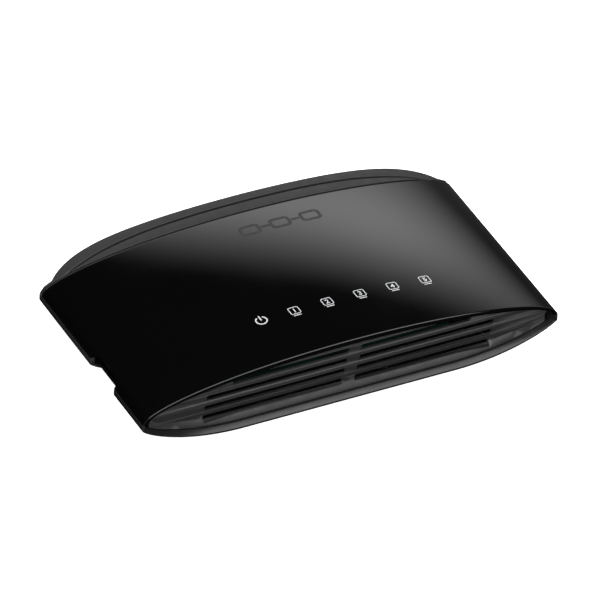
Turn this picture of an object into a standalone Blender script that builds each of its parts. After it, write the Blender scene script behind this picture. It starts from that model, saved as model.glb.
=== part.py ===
"""Five-port desktop network switch, modelled as the separate pieces of the real product.

Frame: +X runs to the right as seen from the front, -Y is the front with the louvred grille, +Z is up,
and the origin is on the surface that the switch stands on, below its middle.
Lengths below are in millimetres; MM turns them into metres.
"""
import math

import bmesh
import bpy

MM = 0.001
GAP = 0.3                      # clearance between neighbouring pieces

# Driving dimensions of the case
HALF_WIDTH = 85.5
FRONT_Y = -48.9
REAR_Y = 48.9
PARTING_Z = 15.2               # plane where the cover meets the tray
TOP_RISE = 13.8                # cover's crown above the parting plane
BASE_Z = 1.5                   # underside of the tray, held up by the feet
WALL = 2.0
ARCH_POWER = 0.55
KNEE = 1.5                     # width of the flat strip along the cover's side edges
RIM_HEIGHT = 2.5               # upright side edge of the tray
TRAY_CURL = 42.0               # how far inboard the tray's upswept ends begin
TRAY_POWER = 0.8
STATIONS = 44

# Plan of the rear: the cover stops short and the housing bulges out behind it
COVER_REAR_Y = 37.1
COVER_REAR_BOW = 0.5
BAND_SPLIT_BOW = 6.8           # rear edge of the trim band, behind the cover's side corners
BAND_SPLIT_REACH = 77.0        # how far from the middle the trim band's bow ends
HOUSING_REACH = 82.5           # how far from the middle the housing's rear corners end
PLAN_POWER = 6.0               # flatness of the housing's bow along its middle
CORNER_POWER = 0.8
SPLIT_POWER = 4.0
GROOVE = 0.8

# Front lip and grille
LIP_SLOPE = 2.4                # how far the tray's bevelled front edge leans back
REAR_LIP = 3.6                 # height of the tray's rear lip
GRILLE_FOOT = 2.4              # grille's distance behind the front plane at the parting plane
GRILLE_LEAN = 0.276
GRILLE_CURVE = 0.006
GRILLE_THICKNESS = 1.1
GRILLE_TOE = 2.6               # height of the border along the grille's lower edge
GRILLE_REACH = 81.3
GRILLE_ROWS = (24.1, 18.6, 13.0, 7.45)
SLOT_HEIGHT = 2.5
SLOT_END = 59.0
TOP_SLOT_END = 49.0
POST_X = 1.0
POST_WIDTH = 5.0

# Security lock pocket in the left side
POCKET_Y = -14.5
POCKET_LENGTH = 20.0
POCKET_DEPTH = 4.8
POCKET_RISE = 2.8
POCKET_DROP = 7.5

# Circuit board and what stands on it
BOARD_TOP = 9.1
BOARD_THICKNESS = 1.6
BOARD_HALF_X = 50.0
BOARD_FRONT = -30.0
BOARD_REAR = 44.8
JACK_PITCH = 16.4
JACK_FIRST_X = -40.6
JACK_SIZE = (15.9, 21.3, 13.4)
JACK_MOUTH_Y = 45.2
SOCKET_SIZE = (11.8, 14.0, 7.4)
SOCKET_FLOOR = 3.9             # socket floor above the board
LATCH_SIZE = (6.4, 14.0, 2.2)
DC_X = 42.6
DC_SIZE = (9.0, 14.0, 11.0)
DC_BORE = 3.2
DC_PIN = 1.05
INDICATOR_Y = -24.4
INDICATOR_FIRST_X = -25.6
INDICATOR_PITCH = 13.5
INDICATOR_NAMES = ("power", "1", "2", "3", "4", "5")
PORTS = 5

# Fixings
FOOT_X = 48.0
FOOT_FRONT_Y = -34.0
FOOT_REAR_Y = 30.0
FOOT_RADIUS = 4.6
FOOT_TOP = 2.4
CASE_SCREW_X = 60.0
CASE_SCREW_FRONT_Y = -20.0
CASE_SCREW_REAR_Y = 14.0
BOARD_SCREW_X = 46.5
BOARD_SCREW_FRONT_Y = -26.5
BOARD_SCREW_REAR_Y = 15.0


# ---------------------------------------------------------------- scene and materials

def clear_scene():
    for item in list(bpy.data.objects):
        bpy.data.objects.remove(item, do_unlink=True)


def material(name, colour, roughness, metallic=0.0):
    """A plain Principled material, made once for each name."""
    found = bpy.data.materials.get(name)
    if found:
        return found
    made = bpy.data.materials.new(name)
    made.use_nodes = True
    shader = made.node_tree.nodes["Principled BSDF"]
    shader.inputs["Base Color"].default_value = (*colour, 1.0)
    shader.inputs["Roughness"].default_value = roughness
    shader.inputs["Metallic"].default_value = metallic
    made.diffuse_color = (*colour, 1.0)
    return made


GLOSS = ("gloss_black", (0.006, 0.006, 0.007), 0.12)
MATTE = ("matte_grey_black", (0.022, 0.022, 0.023), 0.55)
SATIN = ("satin_black", (0.012, 0.012, 0.013), 0.3)
RUBBER = ("foot_rubber", (0.018, 0.018, 0.018), 0.85)
STEEL = ("zinc_steel", (0.55, 0.55, 0.56), 0.35, 1.0)
NICKEL = ("nickel", (0.62, 0.6, 0.56), 0.25, 1.0)
GOLD = ("gold_contact", (0.85, 0.62, 0.25), 0.25, 1.0)
BOARD = ("solder_mask", (0.01, 0.12, 0.05), 0.4)
CHIP = ("chip_epoxy", (0.02, 0.02, 0.022), 0.5)
FINS = ("anodised_fins", (0.05, 0.05, 0.055), 0.4, 0.9)
CLEAR = ("clear_acrylic", (0.8, 0.85, 0.85), 0.1)
LED = ("led_body", (0.75, 0.85, 0.7), 0.3)
SLEEVE = ("capacitor_sleeve", (0.02, 0.03, 0.07), 0.35)
FERRITE = ("ferrite", (0.05, 0.05, 0.055), 0.6)


# ---------------------------------------------------------------- mesh helpers

def add_object(name, mesh, finish):
    piece = bpy.data.objects.new(name, mesh)
    bpy.context.collection.objects.link(piece)
    mesh.materials.append(material(*finish))
    return piece


def finish_mesh(name, shell, finish, smooth_angle=30.0):
    """Turn a bmesh in millimetres into an object in metres with its faces pointing out."""
    bmesh.ops.recalc_face_normals(shell, faces=shell.faces)
    bmesh.ops.scale(shell, vec=(MM, MM, MM), verts=shell.verts)
    mesh = bpy.data.meshes.new(name)
    shell.to_mesh(mesh)
    shell.free()
    mesh.shade_smooth()
    mesh.set_sharp_from_angle(angle=math.radians(smooth_angle))
    return add_object(name, mesh, finish)


def loft(name, rings, finish):
    """A closed solid through rings that all have the same number of points."""
    shell = bmesh.new()
    loops = [[shell.verts.new(point) for point in ring] for ring in rings]
    for near, far in zip(loops, loops[1:]):
        for i in range(len(near)):
            j = (i + 1) % len(near)
            shell.faces.new((near[i], near[j], far[j], far[i]))
    shell.faces.new(loops[0])
    shell.faces.new(reversed(loops[-1]))
    return finish_mesh(name, shell, finish)


def box(name, low, high, finish, bevel=0.0):
    shell = bmesh.new()
    bmesh.ops.create_cube(shell, size=1.0)
    size = [b - a for a, b in zip(low, high)]
    middle = [(a + b) / 2 for a, b in zip(low, high)]
    bmesh.ops.scale(shell, vec=size, verts=shell.verts)
    bmesh.ops.translate(shell, vec=middle, verts=shell.verts)
    if bevel:
        bmesh.ops.bevel(shell, geom=shell.edges[:], offset=bevel, segments=1, affect="EDGES")
    return finish_mesh(name, shell, finish)


def turned(name, centre, profile, finish, sides=20, axis="Z"):
    """A round solid: profile is (radius, distance along the axis) from one end to the other."""
    rings = []
    for radius, along in profile:
        ring = []
        for i in range(sides):
            turn = 2 * math.pi * i / sides
            a, b = radius * math.cos(turn), radius * math.sin(turn)
            offset = (a, b, along) if axis == "Z" else (a, along, b)
            ring.append([c + d for c, d in zip(centre, offset)])
        rings.append(ring)
    return loft(name, rings, finish)


def boolean(piece, tool, operation="DIFFERENCE"):
    """Cut a piece with a hidden tool, or join the tool to it."""
    modifier = piece.modifiers.new(tool.name, "BOOLEAN")
    modifier.operation = operation
    modifier.object = tool
    modifier.solver = "EXACT"
    tool.hide_render = True
    tool.display_type = "WIRE"
    return modifier


# ---------------------------------------------------------------- shape of the case

def arch_shape(across):
    """Rise of the cover as a fraction, for a fraction of the half width."""
    knee_start = 1 - KNEE / HALF_WIDTH
    knee_rise = (1 - knee_start ** 2) ** ARCH_POWER
    if abs(across) > knee_start:
        return knee_rise * (1 - abs(across)) / (1 - knee_start)
    return (1 - across ** 2) ** ARCH_POWER


def upper(across, inset):
    """Point (x, z) of the cover's cross-section, moved inward by inset."""
    return across * (HALF_WIDTH - inset), PARTING_Z + arch_shape(across) * (TOP_RISE - inset)


def lower(across, inset):
    """Point (x, z) of the tray's cross-section below its upright rim, moved inward by inset."""
    curl = max(0.0, (abs(across) * HALF_WIDTH - (HALF_WIDTH - TRAY_CURL)) / TRAY_CURL)
    drop = (1 - curl ** 2) ** TRAY_POWER if curl < 1 else 0.0
    rim_foot = PARTING_Z - GAP - RIM_HEIGHT
    depth = rim_foot - BASE_Z - inset
    return across * (HALF_WIDTH - inset), rim_foot - depth * drop


def plan_bow(across, reach, power):
    """How far a flat-topped bow has come out, as a fraction, seen from above."""
    return max(0.0, 1 - (abs(across) * HALF_WIDTH / reach) ** power)


def rear_edge(across):
    """The housing's rear edge, seen from above, always a little behind the groove."""
    bow = plan_bow(across, HOUSING_REACH, PLAN_POWER) ** CORNER_POWER
    bulge = COVER_REAR_Y + (REAR_Y - COVER_REAR_Y) * bow
    return max(bulge, band_split(across) + GROOVE + 1.2)


def cover_edge(across):
    return COVER_REAR_Y + COVER_REAR_BOW * (1 - across ** 2)


def band_split(across):
    """The groove between the trim band and the housing, seen from above."""
    return COVER_REAR_Y + BAND_SPLIT_BOW * plan_bow(across, BAND_SPLIT_REACH, SPLIT_POWER)


def crossings(count=STATIONS, reach=1.0):
    """Fractions of the half width from left to right, close together near the side edges."""
    return [reach * math.sin(math.pi * (i / count - 0.5)) for i in range(count + 1)]


def grille_y(z):
    height = z - PARTING_Z
    bend = GRILLE_CURVE * max(0.0, height) ** 2
    return FRONT_Y + GRILLE_FOOT - GRILLE_LEAN * height + bend


def height_between(x, top_inset, bottom_inset):
    """Lowest and highest z at a given x, between the tray and the cover."""
    top = upper(x / (HALF_WIDTH - top_inset), top_inset)[1]
    bottom = lower(x / (HALF_WIDTH - bottom_inset), bottom_inset)[1]
    return bottom, top


# ---------------------------------------------------------------- outer shells

def pocket_cutter(name, growth):
    """The lock pocket's outline: an arch that runs down through the tray's edge."""
    half = POCKET_LENGTH / 2 + growth
    top = PARTING_Z + POCKET_RISE + growth
    bottom = PARTING_Z - POCKET_DROP
    inner = -HALF_WIDTH + POCKET_DEPTH + growth
    outline = [(POCKET_Y - half, bottom), (POCKET_Y + half, bottom)]
    for i in range(9):
        turn = math.pi * i / 8
        swell = abs(math.sin(turn)) ** 0.6
        outline.append((POCKET_Y + half * math.cos(turn), PARTING_Z + (top - PARTING_Z) * swell))
    rings = [[(x, y, z) for y, z in outline] for x in (-HALF_WIDTH - 5, inner)]
    return loft(name, rings, GLOSS)


def make_cover(pocket):
    rings = []
    for across in crossings():
        outer, inner = upper(across, 0.0), upper(across, WALL)
        rear = cover_edge(across)
        rings.append([(outer[0], FRONT_Y, outer[1]), (outer[0], rear, outer[1]),
                      (inner[0], rear, inner[1]), (inner[0], FRONT_Y, inner[1])])
    cover = loft("top_cover", rings, GLOSS)
    boolean(cover, pocket)
    return cover


def make_housing():
    """The matte inner shell: it carries the cover and shows behind it as the rear band."""
    top, under, floor = 0.3, WALL + GAP, WALL + GAP + 1.8
    start = FRONT_Y + 6.6
    rings = []
    for across in crossings():
        step, rear = band_split(across) + GROOVE, rear_edge(across)
        points = [(under, start), (under, step), (top, step), (top, rear - 0.5), (top + 0.5, rear),
                  (floor, rear), (floor, start)]
        ring = []
        for inset, y in points:
            x, z = upper(across, inset)
            ring.append((x, y, z))
        rings.append(ring)
    housing = loft("inner_housing", rings, MATTE)
    boolean(housing, pocket_cutter("cut_housing_pocket", 2.4))
    return housing


def make_trim_band():
    """The crescent between the cover's rear edge and the housing's rear band."""
    rings = []
    for across in crossings(reach=0.85):
        front, rear = cover_edge(across) + GROOVE, band_split(across)
        ring = []
        for inset, y in ((0.3, front), (0.3, rear), (WALL, rear), (WALL, front)):
            x, z = upper(across, inset)
            ring.append((x, y, z))
        rings.append(ring)
    return loft("rear_trim_band", rings, MATTE)


def tray_ring(across, rim):
    rear = rear_edge(across)
    points = [(0.0, FRONT_Y), (0.0, rear), (REAR_LIP, rear - 0.6), (REAR_LIP, rear - 2.2),
              (WALL, rear - 2.2), (WALL, FRONT_Y + LIP_SLOPE)]
    ring = []
    for inset, y in points:
        x, z = lower(across, inset)
        ring.append((x, y, PARTING_Z - GAP if rim else z))
    return ring


def make_tray(pocket):
    across = crossings()
    rings = [tray_ring(-1.0, True)] + [tray_ring(a, False) for a in across] + [tray_ring(1.0, True)]
    tray = loft("bottom_tray", rings, SATIN)
    boolean(tray, pocket)
    for x in (-CASE_SCREW_X, CASE_SCREW_X):
        for y in (CASE_SCREW_FRONT_Y, CASE_SCREW_REAR_Y):
            join_boss(tray, x, y, 4.2, PARTING_Z - 1.0)
    for x in (-BOARD_SCREW_X, BOARD_SCREW_X):
        for y in (BOARD_SCREW_FRONT_Y, BOARD_SCREW_REAR_Y):
            join_boss(tray, x, y, 2.6, BOARD_TOP - BOARD_THICKNESS - GAP)
    for x in (-CASE_SCREW_X, CASE_SCREW_X):
        for y in (CASE_SCREW_FRONT_Y, CASE_SCREW_REAR_Y):
            hole = [(3.1, BASE_Z - 2), (3.1, 6.5), (1.8, 6.5), (1.8, PARTING_Z + 1)]
            boolean(tray, turned("cut_case_screw", (x, y, 0), hole, SATIN, 16))
    for x in (-BOARD_SCREW_X, BOARD_SCREW_X):
        for y in (BOARD_SCREW_FRONT_Y, BOARD_SCREW_REAR_Y):
            hole = [(1.3, 4.4), (1.3, BOARD_TOP + 1)]
            boolean(tray, turned("cut_board_screw", (x, y, 0), hole, SATIN, 12))
    for x, y in foot_places():
        recess = [(FOOT_RADIUS + GAP, -1.0), (FOOT_RADIUS + GAP, FOOT_TOP + GAP)]
        boolean(tray, turned("cut_foot", (x, y, 0), recess, SATIN, 20))
    return tray


def join_boss(tray, x, y, radius, top):
    foot = height_between(x, WALL, WALL)[0] - 1.2
    boolean(tray, turned("boss", (x, y, 0), [(radius, foot), (radius, top)], SATIN, 16), "UNION")


def make_grille():
    """The leaning louvred lens between the cover's front edge and the tray's bevelled edge."""
    rows = 5
    rings = []
    for across in crossings(36):
        x = across * GRILLE_REACH
        bottom, top = height_between(x, WALL + GAP, WALL + GAP)
        toe = bottom + min(GRILLE_TOE, (top - bottom) / 2)
        heights = [toe + (top - toe) * i / rows for i in range(rows + 1)]
        toe_y = min(grille_y(toe), FRONT_Y + LIP_SLOPE + GAP)
        front = [(x, toe_y, bottom)] + [(x, grille_y(z), z) for z in heights]
        back = [(x, y + GRILLE_THICKNESS, z) for x, y, z in reversed(front)]
        rings.append(front + back)
    grille = loft("front_grille", rings, MATTE)
    for row, z in enumerate(GRILLE_ROWS):
        end = TOP_SLOT_END if row == 0 else SLOT_END
        spans = ((-end, POST_X - POST_WIDTH / 2), (POST_X + POST_WIDTH / 2, end))
        for left, right in spans:
            middle = grille_y(z)
            low = (left, middle - 4, z - SLOT_HEIGHT / 2)
            high = (right, middle + 6, z + SLOT_HEIGHT / 2)
            boolean(grille, box("cut_slot", low, high, MATTE))
    return grille


def make_rear_panel():
    top_inset, foot_inset = WALL + GAP + 1.8 + GAP, REAR_LIP + GAP
    reach = HALF_WIDTH - 7.5
    rings = []
    for across in crossings(32):
        x = across * reach
        bottom, top = height_between(x, top_inset, foot_inset)
        outer = rear_edge(x / HALF_WIDTH) - 1.4
        rings.append([(x, outer, bottom), (x, outer, top), (x, outer - 1.8, top),
                      (x, outer - 1.8, bottom)])
    panel = loft("rear_panel", rings, MATTE)
    for x in jack_places():
        half = JACK_SIZE[0] / 2 - 1.0
        boolean(panel, box("cut_port", (x - half, 40, BOARD_TOP + 1.2), (x + half, 55, BOARD_TOP + 12.4), MATTE))
    hole = [(4.0, 36.0), (4.0, 56.0)]
    boolean(panel, turned("cut_dc", (DC_X, 0, BOARD_TOP + 5.6), hole, MATTE, 20, "Y"))
    return panel


def make_lock_recess():
    """The thin wall that closes the back of the lock pocket."""
    inner = -HALF_WIDTH + POCKET_DEPTH + 0.5
    bottom = lower(inner / (HALF_WIDTH - WALL), WALL)[1] + 1.8
    half = POCKET_LENGTH / 2 + 1.0
    low = (inner, POCKET_Y - half, bottom)
    high = (inner + 1.2, POCKET_Y + half, PARTING_Z + 2.5)
    return box("lock_recess", low, high, SATIN)


# ---------------------------------------------------------------- board and parts on it

def jack_places():
    return [JACK_FIRST_X + JACK_PITCH * i for i in range(PORTS)]


def make_board():
    low = (-BOARD_HALF_X, BOARD_FRONT, BOARD_TOP - BOARD_THICKNESS)
    board = box("circuit_board", low, (BOARD_HALF_X, BOARD_REAR, BOARD_TOP), BOARD)
    for x in (-BOARD_SCREW_X, BOARD_SCREW_X):
        for y in (BOARD_SCREW_FRONT_Y, BOARD_SCREW_REAR_Y):
            hole = [(1.7, BOARD_TOP - 4), (1.7, BOARD_TOP + 4)]
            boolean(board, turned("cut_board", (x, y, 0), hole, BOARD, 12))
    return board


def make_jack(number, x):
    """A modular socket: a shielded body with a mouth, a latch slot and a comb of eight contacts."""
    width, depth, height = JACK_SIZE
    floor = BOARD_TOP + GAP
    low = (x - width / 2, JACK_MOUTH_Y - depth, floor)
    jack = box(f"port_jack_{number}", low, (x + width / 2, JACK_MOUTH_Y, floor + height), NICKEL)
    mouth_floor = floor + SOCKET_FLOOR
    half = SOCKET_SIZE[0] / 2
    back = JACK_MOUTH_Y - SOCKET_SIZE[1]
    low = (x - half, back, mouth_floor)
    high = (x + half, JACK_MOUTH_Y + 2, mouth_floor + SOCKET_SIZE[2])
    boolean(jack, box("cut_socket", low, high, NICKEL))
    half = LATCH_SIZE[0] / 2
    low = (x - half, back, mouth_floor - LATCH_SIZE[2])
    high = (x + half, JACK_MOUTH_Y + 2, mouth_floor + 0.5)
    boolean(jack, box("cut_latch", low, high, NICKEL))
    make_contacts(number, x, mouth_floor + SOCKET_SIZE[2] - GAP, back + 0.6)
    return jack


def make_contacts(number, x, top, back):
    """Eight blades on one carrier bar, hanging from the socket's roof at its back."""
    pitch, blade, bar, drop = 1.27, 0.5, 0.7, 1.8
    left = x - 3.5 * pitch - blade
    right = x + 3.5 * pitch + blade
    outline = [(left, top), (right, top), (right, top - bar)]
    for i in range(8):
        middle = x + (3.5 - i) * pitch
        outline += [(middle + blade / 2, top - bar), (middle + blade / 2, top - drop),
                    (middle - blade / 2, top - drop), (middle - blade / 2, top - bar)]
    outline.append((left, top - bar))
    rings = [[(px, y, pz) for px, pz in outline] for y in (back, back + 6.5)]
    return loft(f"port_contacts_{number}", rings, GOLD)


def make_dc_inlet():
    width, depth, height = DC_SIZE
    floor = BOARD_TOP + GAP
    mouth = BOARD_REAR - 0.2
    centre = floor + 5.4
    low = (DC_X - width / 2, mouth - depth, floor)
    inlet = box("dc_inlet", low, (DC_X + width / 2, mouth, floor + height), CHIP)
    bore = [(DC_BORE, mouth - 9.5), (DC_BORE, mouth + 2)]
    boolean(inlet, turned("cut_bore", (DC_X, 0, centre), bore, CHIP, 20, "Y"))
    pin = [(DC_PIN, mouth - 9.2), (DC_PIN, mouth - 1.4), (DC_PIN * 0.6, mouth - 0.8)]
    turned("dc_pin", (DC_X, 0, centre), pin, NICKEL, 12, "Y")


def make_chip_and_heatsink():
    x, y, half = -4.0, 4.0, 7.0
    floor = BOARD_TOP + GAP
    box("switch_chip", (x - half, y - half, floor), (x + half, y + half, floor + 1.4), CHIP)
    base = floor + 1.4 + GAP
    outline = [(x - half, base), (x + half, base)]
    fins, fin_height, plate = 6, 5.5, 1.2
    pitch = 2 * half / (fins - 0.5)
    for i in range(fins):
        right = x + half - i * pitch
        left = right - pitch / 2
        if i:
            outline.append((right, base + plate))
        outline += [(right, base + fin_height), (left, base + fin_height)]
        if i < fins - 1:
            outline.append((left, base + plate))
    rings = [[(px, py, pz) for px, pz in outline] for py in (y - half, y + half)]
    loft("heatsink", rings, FINS)


def make_board_parts():
    floor = BOARD_TOP + GAP
    for number, x in enumerate((-32.4, -7.8, 16.8), start=1):
        box(f"line_transformer_{number}", (x - 6.5, 13.4, floor), (x + 6.5, 20.4, floor + 4.2), CHIP)
    for number, (x, y) in enumerate(((42.6, 20.5), (31.0, 8.0), (22.0, -12.0)), start=1):
        can = [(3.0, floor), (3.15, floor + 0.6), (3.15, floor + 9.4), (2.7, floor + 10)]
        turned(f"capacitor_{number}", (x, y, 0), can, SLEEVE, 16)
    box("clock_crystal", (-24, -6, floor), (-13.5, -1.8, floor + 3.4), NICKEL, 0.8)
    coil = [(3.4, floor), (3.9, floor + 0.5), (3.9, floor + 3.6), (3.4, floor + 4.1)]
    turned("power_inductor", (33.0, -6.0, 0), coil, FERRITE, 16)


def indicator_places():
    return [INDICATOR_FIRST_X + INDICATOR_PITCH * i for i in range(len(INDICATOR_NAMES))]


def make_indicators(housing):
    """An LED on the board and a light pipe up through the housing under every printed sign."""
    floor = BOARD_TOP + GAP
    for label, x in zip(INDICATOR_NAMES, indicator_places()):
        y = INDICATOR_Y
        box(f"led_{label}", (x - 1.0, y - 0.65, floor), (x + 1.0, y + 0.65, floor + 0.8), LED)
        side = HALF_WIDTH - WALL - GAP
        top = min(upper(edge / side, WALL + GAP)[1] for edge in (x - 1.8, x + 1.8)) - 0.1
        low = (x - 1.7, y - 1.7, floor + 0.8 + GAP)
        box(f"light_pipe_{label}", low, (x + 1.7, y + 1.7, top), CLEAR, 0.3)
        hole_low, hole_high = (x - 2.1, y - 2.1, PARTING_Z), (x + 2.1, y + 2.1, PARTING_Z + 20)
        boolean(housing, box("cut_pipe", hole_low, hole_high, MATTE))


# ---------------------------------------------------------------- fixings

def foot_places():
    return [(x, y) for x in (-FOOT_X, FOOT_X) for y in (FOOT_FRONT_Y, FOOT_REAR_Y)]


def make_feet():
    for number, (x, y) in enumerate(foot_places(), start=1):
        pad = [(FOOT_RADIUS - 0.6, 0.0), (FOOT_RADIUS, 0.5), (FOOT_RADIUS, FOOT_TOP)]
        turned(f"rubber_foot_{number}", (x, y, 0), pad, RUBBER, 24)


def make_screws():
    number = 0
    for x in (-CASE_SCREW_X, CASE_SCREW_X):
        for y in (CASE_SCREW_FRONT_Y, CASE_SCREW_REAR_Y):
            number += 1
            shape = [(2.4, 4.4), (2.7, 4.7), (2.7, 6.1), (1.4, 6.1), (1.4, 15.6), (0.6, 16.6)]
            turned(f"case_screw_{number}", (x, y, 0), shape, STEEL, 14)
    number = 0
    for x in (-BOARD_SCREW_X, BOARD_SCREW_X):
        for y in (BOARD_SCREW_FRONT_Y, BOARD_SCREW_REAR_Y):
            number += 1
            head = BOARD_TOP + GAP
            shape = [(0.5, 4.8), (1.0, 5.4), (1.0, head), (2.3, head), (2.3, head + 1.0), (1.7, head + 1.5)]
            turned(f"board_screw_{number}", (x, y, 0), shape, STEEL, 14)


def build():
    clear_scene()
    pocket = pocket_cutter("cut_pocket", 0.0)
    make_cover(pocket)
    housing = make_housing()
    make_trim_band()
    make_tray(pocket)
    make_grille()
    make_rear_panel()
    make_lock_recess()
    make_board()
    for number, x in enumerate(jack_places(), start=1):
        make_jack(number, x)
    make_dc_inlet()
    make_chip_and_heatsink()
    make_board_parts()
    make_indicators(housing)
    make_feet()
    make_screws()


build()
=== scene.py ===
"""Looks of the desktop network switch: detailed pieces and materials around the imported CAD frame.

Lengths of the product are in millimetres and are turned into metres when a mesh is made; the
studio's lights and camera are in metres. The case's curves repeat the design's own formulas, so
every shell lies where its CAD solid lies.
"""
import math

import bmesh
import bpy
from mathutils import Matrix, Vector


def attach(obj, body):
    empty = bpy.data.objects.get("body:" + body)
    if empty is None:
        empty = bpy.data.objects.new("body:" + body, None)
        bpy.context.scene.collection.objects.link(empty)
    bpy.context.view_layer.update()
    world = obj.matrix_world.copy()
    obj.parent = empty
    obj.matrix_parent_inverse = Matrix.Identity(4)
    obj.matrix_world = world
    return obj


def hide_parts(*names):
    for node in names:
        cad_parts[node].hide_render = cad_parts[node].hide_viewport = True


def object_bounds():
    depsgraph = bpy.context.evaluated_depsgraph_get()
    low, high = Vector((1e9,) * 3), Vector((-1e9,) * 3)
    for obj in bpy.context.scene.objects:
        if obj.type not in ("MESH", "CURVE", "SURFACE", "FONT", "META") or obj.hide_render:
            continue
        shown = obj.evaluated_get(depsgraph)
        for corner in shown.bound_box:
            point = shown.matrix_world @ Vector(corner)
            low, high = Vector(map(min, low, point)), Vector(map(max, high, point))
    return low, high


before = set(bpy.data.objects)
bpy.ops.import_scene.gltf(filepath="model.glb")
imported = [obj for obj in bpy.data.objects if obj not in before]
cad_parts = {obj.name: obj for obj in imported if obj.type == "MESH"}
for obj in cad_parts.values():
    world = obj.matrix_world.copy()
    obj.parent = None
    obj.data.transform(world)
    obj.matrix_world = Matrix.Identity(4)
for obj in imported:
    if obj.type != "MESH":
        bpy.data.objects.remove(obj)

CAD_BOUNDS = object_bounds()
MM = 0.001
GAP = 0.3

# Case
HALF_WIDTH = 85.5
FRONT_Y = -48.9
REAR_Y = 48.9
PARTING_Z = 15.2
TOP_RISE = 13.75               # a hair under the CAD crown, which leaves room for the printed signs
BASE_Z = 1.5
WALL = 2.0
ARCH_POWER = 0.55
KNEE = 1.5                     # width over which the arch runs straight down to its edge
RIM_HEIGHT = 2.5               # upright rim along the tray's sides
TRAY_CURL = 42.0
TRAY_POWER = 0.8
STATIONS = 150                 # cross-sections along a lofted shell
COVER_REAR_Y = 37.1
COVER_REAR_BOW = 0.5
BAND_SPLIT_BOW = 6.8
BAND_SPLIT_REACH = 77.0
HOUSING_REACH = 82.5
PLAN_POWER = 6.0
CORNER_POWER = 0.8
SPLIT_POWER = 4.0
GROOVE = 0.8
BAND_INSET = 0.3               # how far the rear bands lie below the cover's surface
HOUSING_WALL = 1.8
HOUSING_FRONT_Y = FRONT_Y + 6.6
TRIM_REACH = 0.85

# Front lip and grille
LIP_SLOPE = 2.4                # how far the tray's bevelled edge leans back
REAR_LIP = 3.6
BORDER_STATIONS = 120
GRILLE_FOOT = 2.4
GRILLE_LEAN = 0.276
GRILLE_CURVE = 0.006
GRILLE_THICKNESS = 1.1
GRILLE_TOE = 2.6
GRILLE_REACH = 81.3
GRILLE_ROWS = (24.1, 18.6, 13.0, 7.45)
LOUVRE_STEP = 0.55             # how far each bar's upper edge stands out
SLOT_HEIGHT = 2.9
SLOT_END = 59.0
TOP_SLOT_END = 49.0
POST_X = 1.0
POST_WIDTH = 5.0

# Lock pocket
POCKET_Y = -14.5
POCKET_LENGTH = 20.0
POCKET_DEPTH = 4.8
POCKET_RISE = 2.8
POCKET_DROP = 7.5

# Board parts
BOARD_TOP = 9.1
JACK_PITCH = 16.4
JACK_FIRST_X = -40.6
JACK_SIZE = (15.9, 21.3, 13.4)
JACK_MOUTH_Y = 45.2
SOCKET_SIZE = (11.8, 14.0, 7.4)
SOCKET_FLOOR = 3.9
LATCH_SIZE = (6.4, 14.0, 2.2)
DC_X = 42.6
DC_MOUTH_Y = 44.6
DC_SIZE = (9.0, 14.0, 11.0)
DC_BORE = 3.2
DC_AXIS_HEIGHT = 5.4
PORTS = 5
WIRES = 8
WIRE_PITCH = 1.02
WIRE_RADIUS = 0.2

# Signs on the cover
SIGN_Y = -24.2
SIGN_FIRST_X = -25.6
SIGN_PITCH = 13.5
SIGN_NAMES = ("power", "1", "2", "3", "4", "5")
SIGN_HALF = 1.95
POWER_RADIUS = 2.1
POWER_OPENING = 60             # degrees left open in the power sign's ring
EMBLEM = (7.4, 26.5)
EMBLEM_PITCH = 12.5

# Fixings
FOOT_PLACES = [(x, y) for x in (-48.0, 48.0) for y in (-34.0, 30.0)]
FOOT_RADIUS = 4.6
FOOT_TOP = 2.4
CASE_SCREWS = [(x, y) for x in (-60.0, 60.0) for y in (-20.0, 14.0)]
BOSS_BORE = 3.1
BOSS_SEAT = 6.5                # height at which a screw's head meets its boss
THREAD_RIDGES = 8

# Camera, aimed beside the middle of the case
AZIMUTH = -28.56
ELEVATION = 36.92
ROLL = 3.13
DISTANCE = 4.0
VIEW_WIDTH = 0.2221            # metres across the picture at the case's distance
AIM_RIGHT = 0.00275
AIM_UP = -0.001


# ---------------------------------------------------------------- materials

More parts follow.
